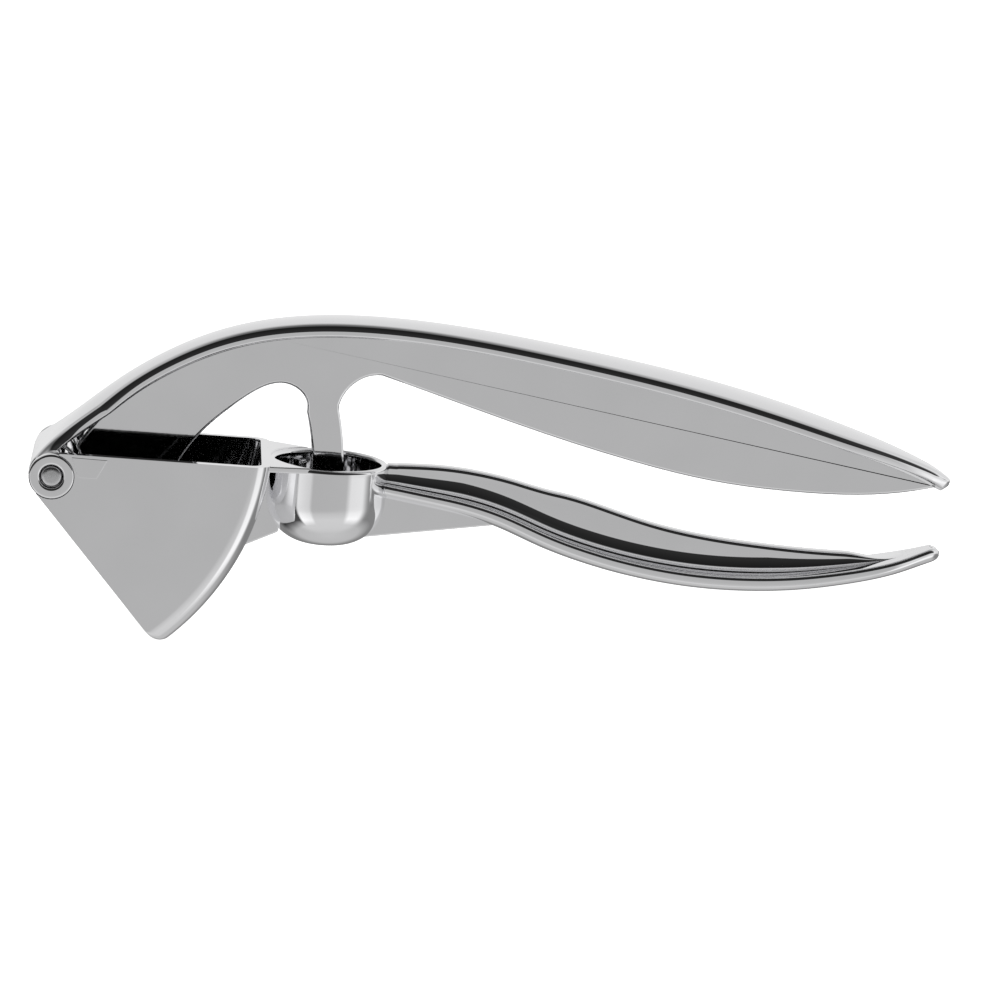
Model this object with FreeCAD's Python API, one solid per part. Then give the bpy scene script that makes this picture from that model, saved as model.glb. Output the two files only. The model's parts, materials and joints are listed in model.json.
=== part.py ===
import FreeCAD, Part
import math
import os

# Lever garlic press with a cherry pitter, in millimetres.
# Everything is drawn in the press's own drawing frame: the hinge axis is Y through the origin, +X runs
# towards the handle tips, and the hopper's rim is level. stand_up() then sets the press on the table.

# Hinge
PIN_RADIUS = 2.2
LUG_FIT = 0.02            # radial gap, pin in the lugs
BARREL_FIT = 0.05         # radial gap, pin in the swinging barrel
LUG_RADIUS = 4.7
BARREL_RADIUS = 4.4
HUB_RADIUS = 5.6          # thick middle of the barrel, under the web
HUB_WIDTH = 9.0
PIN_RECESS = 0.3          # each pin end lies this far inside the lug's face
PIN_EDGE = 0.5

# Hopper
HOPPER_WIDTH = 34.0
WALL = 2.0
RIM_HEIGHT = 4.9          # rim above the hinge axis
RIM_START = 1.2           # the rim begins this far in front of the hinge axis
SIEVE_SLOPE = 48.5        # degrees from the rim down to the sieve
SIEVE_THICKNESS = 1.6
SIEVE_FIT = 0.05
FRONT_RADIUS = 57.8       # outer radius of the curved front wall
FRONT_CENTRE = (-12.6, 9.7)
CORNER_RADIUS = 3.0
TIP_RADIUS = 2.6

# Sieve holes
HOLE_RADIUS = 0.95
HOLE_PITCH = 2.9
HOLE_MARGIN = 2.6

# Pusher plate
SIDE_CLEARANCE = 0.4      # pusher and barrel to the side walls
TIP_CLEARANCE = 0.6       # pusher's tip to the front wall
SIEVE_CLEARANCE = 0.6     # pusher's face to the sieve when shut
PUSHER_THICKNESS = 2.4

# Pitter
CUP_DISTANCE = 57.2       # hinge axis to the cup's axis
CUP_RADIUS = 12.6
CUP_WALL = 1.5
CUP_RIM = 4.4             # rim above the hinge axis
CUP_DEPTH = 18.1          # rim to the outside of the bottom
CUP_ROUND = 9.5           # outer radius of the rounded bottom
PIT_HOLE_RADIUS = 4.2
RIM_ROUND = 0.7
STEM_WIDTH = 6.7
STEM_ABOVE_BOTTOM = 3.0   # stem's end to the inside of the cup's bottom when shut
STEM_LEFT_TOP = 15.0      # height where the stem's hinge-side edge turns into the arch
STEM_RIGHT_TOP = 16.5     # height where its other edge turns into the handle's web
STEM_SEAM = 14.0          # height where the stem's stretch of the web begins

# Gussets and ribs that join the hopper, the cup and the handle
GUSSET_THICKNESS = 1.8
GUSSET_LEAN = 32.0        # degrees from square across, where a gusset's edge meets the cup
RIB_THICKNESS = 3.0
HOPPER_RIB = [(40.2, -16.0), (47.3, -11.4)]
CUP_RIB = [(66.5, -11.4), (93.0, -7.2)]

# Upper handle: crest of the flange, its half-width along X, and the web below it
UPPER_CREST = [(-2.0, 3.4), (6.3, 13.1), (18.2, 22.5), (30.4, 29.1), (42.7, 33.0), (55.2, 34.8), (67.8, 35.2),
               (86.9, 34.1), (106.2, 31.8), (125.6, 28.9), (145.2, 25.0), (164.9, 19.7), (178.3, 15.2),
               (185.6, 12.0), (189.6, 9.6)]
UPPER_HALF_WIDTH = [(-2.0, 13.0), (6.0, 8.6), (18.0, 6.7), (36.0, 6.3), (55.0, 6.7), (80.0, 7.5), (112.0, 8.5),
                    (144.0, 9.3), (163.0, 9.0), (177.0, 6.6), (185.0, 4.0), (189.6, 2.0)]
UPPER_EDGE = 2.5          # thickness of the flange
CROWN_RADIUS = 29.0       # the flange's top curves across with this radius
WEB_THICKNESS = 3.4
WEB_ON_PUSHER = 19.0      # how far down the pusher the web reaches
ARCH_LEFT = [(25.6, 1.4), (30.7, 9.1), (37.6, 15.7), (42.6, 19.2)]
ARCH_TOP = (46.3, 20.2)
ARCH_RIGHT = (50.6, 18.4)
WEB_LOWER = [(67.0, 23.3), (75.2, 21.0), (94.7, 15.4), (120.9, 8.9), (140.0, 5.7), (156.0, 4.8), (172.6, 5.4),
             (187.9, 8.6)]
STEM_FILLET = [(59.3, 18.6), (62.4, 22.0)]

# Lower handle: underside of the flange, its half-width along X, and the web on top of it
LOWER_BELLY = [(68.0, -2.6), (80.0, -4.3), (91.0, -6.4), (103.3, -10.9), (116.4, -14.5), (129.4, -16.6),
               (142.4, -17.2), (155.2, -16.5), (167.9, -14.4), (180.5, -11.0), (188.6, -7.4)]
LOWER_HALF_WIDTH = [(68.0, 4.8), (85.0, 6.2), (105.0, 7.2), (130.0, 7.9), (155.0, 7.9), (172.0, 6.9),
                    (181.0, 5.2), (186.5, 3.0), (188.6, 1.2)]
LOWER_EDGE = 3.1
BELLY_RADIUS = 32.0
LOWER_WEB = [(68.0, 4.1), (76.6, 4.5), (89.4, 4.2), (102.3, 2.4), (115.5, -1.4), (128.6, -4.7), (141.7, -6.4),
             (161.2, -7.2), (180.0, -6.9)]

STATIONS = 24             # cross-sections along each flange

# Room needed by booleans
REACH = 60.0
OVERSHOOT = 2.0

HALF_WIDTH = HOPPER_WIDTH / 2
INNER_HALF = HALF_WIDTH - WALL
SLOPE = math.radians(SIEVE_SLOPE)
DOWN_SLOPE = (math.cos(SLOPE), -math.sin(SLOPE))       # along the sieve, away from the hinge
OUT_OF_SIEVE = (-math.sin(SLOPE), -math.cos(SLOPE))    # square to the sieve, outwards


def vec(point, y=0.0):
    return FreeCAD.Vector(point[0], y, point[1])


def on_slope(offset, along):
    """A point offset from the hinge axis square to the sieve, and along it."""
    x = OUT_OF_SIEVE[0] * offset + DOWN_SLOPE[0] * along
    z = OUT_OF_SIEVE[1] * offset + DOWN_SLOPE[1] * along
    return (x, z)


def line(start, end):
    return Part.makeLine(vec(start), vec(end))


def arc(start, middle, end):
    return Part.Arc(vec(start), vec(middle), vec(end)).toShape()


def curve(points):
    spline = Part.BSplineCurve()
    spline.interpolate([vec(p) for p in points])
    return spline.toShape()


def around_hinge(radius, angle):
    return (radius * math.cos(angle), radius * math.sin(angle))


def prism(edges, half_width):
    """A closed outline in XZ, carried across from -half_width to +half_width."""
    face = Part.Face(Part.Wire(edges))
    face.translate(FreeCAD.Vector(0, -half_width, 0))
    return face.extrude(FreeCAD.Vector(0, 2 * half_width, 0))


def polygon(points, half_width):
    edges = [line(points[i - 1], points[i]) for i in range(1, len(points))]
    edges.append(line(points[-1], points[0]))
    return prism(edges, half_width)


def cross_cylinder(centre, radius, low, high):
    """A cylinder whose axis runs across the press, from Y = low to Y = high."""
    return Part.makeCylinder(radius, high - low, vec(centre, low), FreeCAD.Vector(0, 1, 0))


def slab(low, high):
    """All of the press between two values of Y."""
    corner = FreeCAD.Vector(-REACH, low, -REACH)
    return Part.makeBox(6 * REACH, high - low, 2 * REACH, corner)


def one_solid(shape):
    solids = sorted(shape.Solids, key=lambda s: s.Volume)
    return solids[-1]


# ---------------------------------------------------------------- hopper

def sector():
    """The hopper's side view, from the rim down the sieve side to the curved front."""
    block = polygon([(RIM_START, RIM_HEIGHT), (REACH, RIM_HEIGHT), (REACH, -REACH),
                     on_slope(LUG_RADIUS, REACH), on_slope(LUG_RADIUS, 0), (0, 0)], HALF_WIDTH)
    front = cross_cylinder(FRONT_CENTRE, FRONT_RADIUS, -HALF_WIDTH, HALF_WIDTH)
    return block.common(front)


def is_tip(edge):
    """True for the edge across the hopper's lower tip."""
    box = edge.BoundBox
    straight = box.YLength > HOPPER_WIDTH - 1 and box.XLength < 1e-3 and box.ZLength < 1e-3
    return straight and box.ZMin < -0.5 * FRONT_RADIUS


def hopper_shell():
    body = sector()
    tip = [e for e in body.Edges if is_tip(e)]
    body = body.makeFillet(TIP_RADIUS, tip)
    rounded = cross_cylinder(FRONT_CENTRE, FRONT_RADIUS, -HALF_WIDTH, HALF_WIDTH)
    rings = [e for e in rounded.Edges if abs(e.BoundBox.YLength) < 1e-3]
    rounded = rounded.makeFillet(CORNER_RADIUS, rings)
    return body.common(rounded).cut(hopper_cavity())


def hopper_cavity():
    tool = cross_cylinder(FRONT_CENTRE, FRONT_RADIUS - WALL, -INNER_HALF, INNER_HALF)
    rings = [e for e in tool.Edges if abs(e.BoundBox.YLength) < 1e-3]
    return tool.makeFillet(CORNER_RADIUS - WALL, rings)


def side_wall(shell, side):
    low, high = sorted((side * INNER_HALF, side * HALF_WIDTH))
    wall = shell.common(slab(low, high))
    hinge_end = cross_cylinder((0, 0), LUG_RADIUS, low, high)
    return one_solid(wall.cut(hinge_end))


def front_wall(shell):
    wall = shell.common(slab(-INNER_HALF, INNER_HALF))
    return one_solid(wall)


def lug(side):
    low, high = sorted((side * INNER_HALF, side * HALF_WIDTH))
    ring = cross_cylinder((0, 0), LUG_RADIUS, low, high)
    return ring.cut(cross_cylinder((0, 0), PIN_RADIUS + LUG_FIT, low, high))


def sieve_start():
    """Where the sieve begins along the slope, just clear of the hub."""
    inner = LUG_RADIUS - SIEVE_THICKNESS
    clear = HUB_RADIUS + SIEVE_CLEARANCE
    return math.sqrt(clear ** 2 - inner ** 2)


def front_reach(angle, radius):
    """Distance from the hinge axis to a front surface of that radius, looking along an angle."""
    ahead = FRONT_CENTRE[0] * math.cos(angle) + FRONT_CENTRE[1] * math.sin(angle)
    return ahead + math.sqrt(ahead ** 2 - FRONT_CENTRE[0] ** 2 - FRONT_CENTRE[1] ** 2 + radius ** 2)


def sieve_plate():
    start = sieve_start()
    end = front_reach(-SLOPE, FRONT_RADIUS)
    inner = LUG_RADIUS - SIEVE_THICKNESS
    half = INNER_HALF - SIEVE_FIT
    plate = polygon([on_slope(inner, start), on_slope(inner, end), on_slope(LUG_RADIUS, end),
                     on_slope(LUG_RADIUS, start)], half)
    bay = cross_cylinder(FRONT_CENTRE, FRONT_RADIUS - WALL - SIEVE_FIT, -half, half)
    rings = [e for e in bay.Edges if abs(e.BoundBox.YLength) < 1e-3]
    plate = plate.common(bay.makeFillet(CORNER_RADIUS - WALL, rings))
    last = front_reach(-SLOPE, FRONT_RADIUS - WALL) - HOLE_MARGIN
    first = start + HOLE_MARGIN
    rows = int((last - first) / HOLE_PITCH)
    columns = int((half - HOLE_MARGIN) / HOLE_PITCH)
    drills = []
    for row in range(rows + 1):
        along = first + (last - first - rows * HOLE_PITCH) / 2 + row * HOLE_PITCH
        for column in range(-columns, columns + 1):
            base = vec(on_slope(inner - OVERSHOOT, along), column * HOLE_PITCH)
            drills.append(Part.makeCylinder(HOLE_RADIUS, SIEVE_THICKNESS + 2 * OVERSHOOT, base, vec(OUT_OF_SIEVE)))
    return plate.cut(Part.makeCompound(drills))


def hinge_pin():
    reach = HALF_WIDTH - PIN_RECESS
    pin = cross_cylinder((0, 0), PIN_RADIUS, -reach, reach)
    ends = [e for e in pin.Edges if abs(e.BoundBox.YLength) < 1e-3]
    return pin.makeFillet(PIN_EDGE, ends)


# ---------------------------------------------------------------- cup, bridge and ribs

def cup_outline(inset):
    """Half section of the cup's outside, or of a surface inset from it: rim point, then down to the axis."""
    radius = CUP_RADIUS - inset
    turn = CUP_ROUND - inset
    bottom = CUP_RIM - CUP_DEPTH + inset
    flat = CUP_RADIUS - CUP_ROUND
    middle = math.sqrt(0.5) * turn
    start = (radius, bottom + turn)
    bend = (flat + middle, bottom + turn - middle)
    return radius, start, bend, (flat, bottom), bottom


def turned(inset, top):
    """The cup's outline about its axis, from its bottom up to the height top."""
    radius, start, bend, end, bottom = cup_outline(inset)
    edges = [line((0, top), (radius, top)), line((radius, top), start), arc(start, bend, end),
             line(end, (0, bottom)), line((0, bottom), (0, top))]
    face = Part.Face(Part.Wire(edges))
    body = face.revolve(FreeCAD.Vector(0, 0, 0), FreeCAD.Vector(0, 0, 1), 360)
    body.translate(FreeCAD.Vector(CUP_DISTANCE, 0, 0))
    return body


def hopper_bulk():
    """Everything inside the front wall's outer face."""
    return cross_cylinder(FRONT_CENTRE, FRONT_RADIUS, -HALF_WIDTH - 1, HALF_WIDTH + 1)


def pitter_cup():
    cup = turned(0, CUP_RIM).cut(turned(CUP_WALL, CUP_RIM + OVERSHOOT))
    base = FreeCAD.Vector(CUP_DISTANCE, 0, CUP_RIM - CUP_DEPTH - OVERSHOOT)
    hole = Part.makeCylinder(PIT_HOLE_RADIUS, CUP_WALL + 2 * OVERSHOOT, base)
    cup = cup.cut(hole)
    rims = [e for e in cup.Edges if abs(e.BoundBox.ZMin - CUP_RIM) < 1e-3 and e.BoundBox.ZLength < 1e-3]
    cup = cup.makeFillet(RIM_ROUND, rims)
    return one_solid(cup.cut(hopper_bulk()))


def gusset(side, cup_body):
    """The flat plate on one side between the hopper's front and the cup, narrowing towards the cup."""
    top = CUP_RIM - RIM_ROUND
    back = FRONT_CENTRE[0] + FRONT_RADIUS - 2 * WALL
    wide = HALF_WIDTH - CORNER_RADIUS
    lean = math.radians(GUSSET_LEAN)
    touch = (CUP_DISTANCE - CUP_RADIUS * math.sin(lean), CUP_RADIUS * math.cos(lean))
    outline = [(back, 0), (back, side * wide), (touch[0], side * touch[1]), (CUP_DISTANCE, 0)]
    corners = [FreeCAD.Vector(x, y, top) for x, y in outline]
    face = Part.Face(Part.makePolygon(corners + corners[:1]))
    plate = face.extrude(FreeCAD.Vector(0, 0, -GUSSET_THICKNESS))
    return one_solid(plate.cut(hopper_bulk()).cut(cup_body))


def hopper_rib(cup_body):
    """The rib that closes the gap between the hopper's front and the cup."""
    outline = HOPPER_RIB + [(CUP_DISTANCE, HOPPER_RIB[-1][1]), (CUP_DISTANCE, 0), (HOPPER_RIB[0][0], 0)]
    rib = polygon(outline, RIB_THICKNESS / 2)
    return one_solid(rib.cut(hopper_bulk()).cut(cup_body))


def cup_rib(cup_body, strip):
    """The rib under the start of the lower handle, from the cup's side."""
    outline = [(CUP_DISTANCE, CUP_RIB[0][1])] + CUP_RIB + [(CUP_RIB[-1][0], 0), (CUP_DISTANCE, 0)]
    rib = polygon(outline, RIB_THICKNESS / 2)
    return one_solid(rib.cut(cup_body).cut(strip))


# ---------------------------------------------------------------- handles

def at_x(table, x):
    """The value in a list of (x, value), on straight lines between its points."""
    for (x0, v0), (x1, v1) in zip(table, table[1:]):
        if x <= x1:
            share = max(0.0, (x - x0) / (x1 - x0))
            return v0 + share * (v1 - v0)
    return table[-1][1]


def stations(points, count):
    """Evenly spaced points on a smooth curve, each with the direction square to it on the upper side."""
    edge = curve(points)
    found = []
    for step in range(count + 1):
        u = edge.getParameterByLength(edge.Length * step / count)
        place = edge.valueAt(u)
        along = edge.tangentAt(u)
        found.append(((place.x, place.z), (-along.z, along.x)))
    return found


def flange(points, widths, thickness, round_radius, count, up):
    """A lofted strip. up is 1 for a crowned top over a flat underside, -1 for a round belly."""
    sections = []
    for place, normal in stations(points, count):
        half = at_x(widths, place[0])
        sag = half ** 2 / (2 * round_radius)
        outer_edge = (place[0] - up * normal[0] * sag, place[1] - up * normal[1] * sag)
        deep = sag + thickness
        inner_edge = (place[0] - up * normal[0] * deep, place[1] - up * normal[1] * deep)
        a = vec(outer_edge, -half)
        b = vec(outer_edge, half)
        c = vec(inner_edge, half)
        d = vec(inner_edge, -half)
        edges = [Part.Arc(a, vec(place), b).toShape(), Part.makeLine(b, c), Part.makeLine(c, d), Part.makeLine(d, a)]
        sections.append(Part.Wire(edges))
    return Part.makeLoft(sections, True, False)


def upper_flange():
    strip = flange(UPPER_CREST, UPPER_HALF_WIDTH, UPPER_EDGE, CROWN_RADIUS, STATIONS, 1)
    reach = INNER_HALF - SIDE_CLEARANCE
    strip = strip.common(slab(-reach, reach))
    strip = strip.cut(cross_cylinder((0, 0), BARREL_RADIUS, -HALF_WIDTH, HALF_WIDTH))
    strip = strip.cut(cross_cylinder((0, 0), HUB_RADIUS, -HUB_WIDTH / 2, HUB_WIDTH / 2))
    return one_solid(strip)


def stem_edges():
    half = math.asin(STEM_WIDTH / 2 / CUP_DISTANCE)
    return CUP_DISTANCE * (1 - half), CUP_DISTANCE * (1 + half)


def stem_end_angle():
    height = CUP_RIM - CUP_DEPTH + CUP_WALL + STEM_ABOVE_BOTTOM
    return math.asin(height / CUP_DISTANCE)


def under_crest(count):
    """The upper handle's crest moved down to the middle of the flange."""
    middle = []
    for place, normal in stations(UPPER_CREST, count):
        sag = at_x(UPPER_HALF_WIDTH, place[0]) ** 2 / (2 * CROWN_RADIUS)
        deep = sag + UPPER_EDGE / 2
        middle.append((place[0] - normal[0] * deep, place[1] - normal[1] * deep))
    return middle


def web_blank():
    """The flat web below the crest with its arch and pitter stem, before it is trimmed by its neighbours."""
    inner, outer = stem_edges()
    end = stem_end_angle()
    left_top = math.atan2(STEM_LEFT_TOP, inner)
    right_top = math.atan2(STEM_RIGHT_TOP, outer)
    middle_line = under_crest(STATIONS)
    face_offset = LUG_RADIUS - SIEVE_THICKNESS - SIEVE_CLEARANCE - PUSHER_THICKNESS
    meets = on_slope(face_offset, WEB_ON_PUSHER)
    edges = [
        curve(middle_line),
        line(middle_line[-1], WEB_LOWER[-1]),
        curve(list(reversed(WEB_LOWER))),
        curve([WEB_LOWER[0], STEM_FILLET[1], STEM_FILLET[0], around_hinge(outer, right_top)]),
        arc(around_hinge(outer, right_top), around_hinge(outer, 0), around_hinge(outer, end)),
        line(around_hinge(outer, end), around_hinge(inner, end)),
        arc(around_hinge(inner, end), around_hinge(inner, 0), around_hinge(inner, left_top)),
        curve([around_hinge(inner, left_top), ARCH_RIGHT, ARCH_TOP] + list(reversed(ARCH_LEFT))),
        line(ARCH_LEFT[0], meets),
        line(meets, on_slope(face_offset, 0)),
        line(on_slope(face_offset, 0), middle_line[0]),
    ]
    return prism(edges, WEB_THICKNESS / 2)


def pusher_plate():
    low = LUG_RADIUS - SIEVE_THICKNESS - SIEVE_CLEARANCE
    high = low - PUSHER_THICKNESS
    angles = [math.radians(a) for a in range(-int(SIEVE_SLOPE), 60, 4)]
    shortest = min(front_reach(a, FRONT_RADIUS - WALL) for a in angles)
    reach = shortest - TIP_CLEARANCE
    half = INNER_HALF - SIDE_CLEARANCE
    plate = polygon([on_slope(low, 0), on_slope(low, REACH), on_slope(high, REACH), on_slope(high, 0)], half)
    sweep = cross_cylinder((0, 0), reach, -half, half)
    rings = [e for e in sweep.Edges if abs(e.BoundBox.YLength) < 1e-3]
    sweep = sweep.makeFillet(CORNER_RADIUS - WALL + SIDE_CLEARANCE, rings)
    plate = plate.common(sweep)
    plate = plate.cut(cross_cylinder((0, 0), BARREL_RADIUS, -HALF_WIDTH, HALF_WIDTH))
    plate = plate.cut(cross_cylinder((0, 0), HUB_RADIUS, -HUB_WIDTH / 2, HUB_WIDTH / 2))
    return one_solid(plate)


def hinge_barrel():
    half = INNER_HALF - SIDE_CLEARANCE
    barrel = cross_cylinder((0, 0), BARREL_RADIUS, -half, half)
    barrel = barrel.fuse(cross_cylinder((0, 0), HUB_RADIUS, -HUB_WIDTH / 2, HUB_WIDTH / 2))
    return barrel.cut(cross_cylinder((0, 0), PIN_RADIUS + BARREL_FIT, -half, half))


def upper_webs(top_flange, pusher):
    """The web as three stretches: at the hinge, down the stem, and along the handle."""
    web = web_blank()
    web = web.cut(top_flange)
    web = web.cut(pusher)
    web = web.cut(cross_cylinder((0, 0), HUB_RADIUS, -HALF_WIDTH, HALF_WIDTH))
    inner, outer = stem_edges()
    half = WEB_THICKNESS / 2 + 1
    left = polygon([(-REACH, -REACH), (inner, -REACH), (inner, REACH), (-REACH, REACH)], half)
    below = polygon([(inner - 10, -REACH), (outer + 6, -REACH), (outer + 6, STEM_SEAM), (inner - 10, STEM_SEAM)], half)
    stem = one_solid(web.common(below))
    rest = web.cut(below)
    hinge_side = one_solid(rest.common(left))
    handle_side = one_solid(rest.cut(left))
    return hinge_side, stem, handle_side


def lower_flange(cup_body):
    strip = flange(LOWER_BELLY, LOWER_HALF_WIDTH, LOWER_EDGE, BELLY_RADIUS, STATIONS, -1)
    return one_solid(strip.cut(cup_body))


def lower_web(cup_body, strip):
    points = LOWER_WEB
    belly = [(x, z + 1.0) for x, z in LOWER_BELLY if x <= points[-1][0]]
    belly.append((points[-1][0] + 2.0, at_x(LOWER_BELLY, points[-1][0] + 2.0) + LOWER_EDGE / 2))
    edges = [curve(points), line(points[-1], belly[-1]), curve(list(reversed(belly))), line(belly[0], points[0])]
    web = prism(edges, WEB_THICKNESS / 2)
    return one_solid(web.cut(strip).cut(cup_body))


# ---------------------------------------------------------------- standing on the table

def lowest_after(shape_points, tilt):
    sine, cosine = math.sin(tilt), math.cos(tilt)
    return min(z * cosine - x * sine for x, z in shape_points)


def mesh_points(shapes):
    found = []
    for shape in shapes:
        found.extend(shape.tessellate(0.02)[0])
    return found


def stand_up(nodes, hopper_names, handle_names):
    """Tilt the press until the hopper's tip and the handle's belly rest on one plane, then centre it."""
    tip = [(p.x, p.z) for p in mesh_points([nodes[n] for n in hopper_names])]
    belly = [(p.x, p.z) for p in mesh_points([nodes[n] for n in handle_names])]
    low, high = 0.0, math.radians(25)
    for _ in range(50):
        tilt = (low + high) / 2
        if lowest_after(belly, tilt) > lowest_after(tip, tilt):
            low = tilt
        else:
            high = tilt
    for shape in nodes.values():
        shape.rotate(FreeCAD.Vector(0, 0, 0), FreeCAD.Vector(0, 1, 0), math.degrees(tilt))
    cloud = mesh_points(nodes.values())
    middle = (min(p.x for p in cloud) + max(p.x for p in cloud)) / 2
    floor = min(p.z for p in cloud)
    for shape in nodes.values():
        shape.translate(FreeCAD.Vector(-middle, 0, -floor))
    return math.degrees(tilt), (-middle, -floor)


def press():
    shell = hopper_shell()
    cup_body = turned(0, CUP_RIM + OVERSHOOT)
    top_flange = upper_flange()
    pusher = pusher_plate()
    hinge_side, stem, handle_side = upper_webs(top_flange, pusher)
    bottom_flange = lower_flange(cup_body)
    return {
        "near_side_wall": side_wall(shell, -1),
        "far_side_wall": side_wall(shell, 1),
        "front_wall": front_wall(shell),
        "near_lug": lug(-1),
        "far_lug": lug(1),
        "sieve_plate": sieve_plate(),
        "hinge_pin": hinge_pin(),
        "near_gusset": gusset(-1, cup_body),
        "far_gusset": gusset(1, cup_body),
        "pitter_cup": pitter_cup(),
        "hopper_rib": hopper_rib(cup_body),
        "cup_rib": cup_rib(cup_body, bottom_flange),
        "lower_handle_flange": bottom_flange,
        "lower_handle_web": lower_web(cup_body, bottom_flange),
        "hinge_barrel": hinge_barrel(),
        "pusher_plate": pusher,
        "upper_handle_flange": top_flange,
        "upper_web_hinge": hinge_side,
        "pitter_stem": stem,
        "upper_web_handle": handle_side,
    }


parts = press()
tilt, hinge = stand_up(parts, ["front_wall", "near_side_wall"], ["lower_handle_flange"])
print("tilt", round(tilt, 3), "hinge", round(hinge[0], 3), round(hinge[1], 3))
os.makedirs("parts", exist_ok=True)
for name, shape in parts.items():
    box = shape.BoundBox
    print(name, shape.isValid(), len(shape.Solids), round(shape.Volume, 1),
          [round(v, 2) for v in (box.XMin, box.XMax, box.YMin, box.YMax, box.ZMin, box.ZMax)])
    shape.exportStep("parts/" + name + ".step")
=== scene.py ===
# %% [markdown]
# A chrome garlic press with a cherry pitter. The real press is two polished zinc castings on one steel
# pin. The places come from the CAD frame, and the main sizes of the CAD are repeated here by name. This
# lesson rebuilds each visible surface with soft edges, because a mirror finish shows an edge far more
# than it shows a face.

import json
import math

import bmesh
import bpy
import numpy as np
from mathutils import Matrix, Vector
from mathutils.bvhtree import BVHTree


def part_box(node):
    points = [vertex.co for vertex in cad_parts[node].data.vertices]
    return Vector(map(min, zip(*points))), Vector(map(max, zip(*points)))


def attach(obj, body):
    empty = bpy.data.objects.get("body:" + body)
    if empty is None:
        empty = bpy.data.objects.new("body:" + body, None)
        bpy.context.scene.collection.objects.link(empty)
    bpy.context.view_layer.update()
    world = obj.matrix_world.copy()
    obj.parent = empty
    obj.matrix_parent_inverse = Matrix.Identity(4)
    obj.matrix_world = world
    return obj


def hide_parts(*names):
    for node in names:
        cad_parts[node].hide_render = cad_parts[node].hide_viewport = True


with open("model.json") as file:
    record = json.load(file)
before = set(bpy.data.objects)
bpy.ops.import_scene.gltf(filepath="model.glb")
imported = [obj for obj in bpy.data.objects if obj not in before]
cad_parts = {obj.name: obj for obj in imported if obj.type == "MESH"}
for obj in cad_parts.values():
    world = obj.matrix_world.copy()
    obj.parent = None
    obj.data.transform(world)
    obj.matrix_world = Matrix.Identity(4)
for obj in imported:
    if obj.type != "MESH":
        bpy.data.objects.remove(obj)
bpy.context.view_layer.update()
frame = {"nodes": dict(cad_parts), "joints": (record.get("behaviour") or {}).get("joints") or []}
MM = 0.001
print("CAD nodes:", len(frame["nodes"]))

# %% [markdown]
# The press was drawn with its hinge at zero and its hopper rim level, and then tilted to stand on a
# table. Working in that drawing frame keeps the formulas short: the hinge comes from the record, and the
# tilt from the slope of the near wall's rim, which is the straight line from its highest to its foremost
# point.

# %% The drawing frame
hinge = Vector(frame["joints"][0]["pos_m"])


def node_points(name):
    """The corners of a CAD node's mesh, as an array of x, y, z in metres."""
    mesh = frame["nodes"][name].data
    flat = np.empty(len(mesh.vertices) * 3)
    mesh.vertices.foreach_get("co", flat)
    return flat.reshape(-1, 3)


wall_points = node_points("near_side_wall")
rim_start = wall_points[wall_points[:, 2].argmax()]
rim_end = wall_points[wall_points[:, 0].argmax()]
TILT = math.atan2(rim_start[2] - rim_end[2], rim_end[0] - rim_start[0])
print("tilt in degrees:", round(math.degrees(TILT), 2))


def to_row(points):
    """Drawing frame in mm to the row frame in m: a turn by TILT about Y, then a move to the hinge."""
    points = np.asarray(points, float)
    x, y, z = points[..., 0], points[..., 1], points[..., 2]
    out = np.empty_like(points)
    out[..., 0] = (math.cos(TILT) * x + math.sin(TILT) * z) * MM + hinge.x
    out[..., 1] = y * MM
    out[..., 2] = (math.cos(TILT) * z - math.sin(TILT) * x) * MM + hinge.z
    return out


def to_drawing(points):
    """The row frame in m back to the drawing frame in mm."""
    points = np.asarray(points, float)
    x = (points[..., 0] - hinge.x) / MM
    z = (points[..., 2] - hinge.z) / MM
    out = np.empty_like(points)
    out[..., 0] = math.cos(TILT) * x - math.sin(TILT) * z
    out[..., 1] = points[..., 1] / MM
    out[..., 2] = math.sin(TILT) * x + math.cos(TILT) * z
    return out


# %% [markdown]
# Each finish is a small node tree. Polished chrome is a mirror with a slight orange-peel waviness from
# the casting, faint polishing haze in its roughness, and a trace of brightness variation. Steel is
# duller and carries fine marks: straight ones on the sieve, rings on the turned pin.

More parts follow.
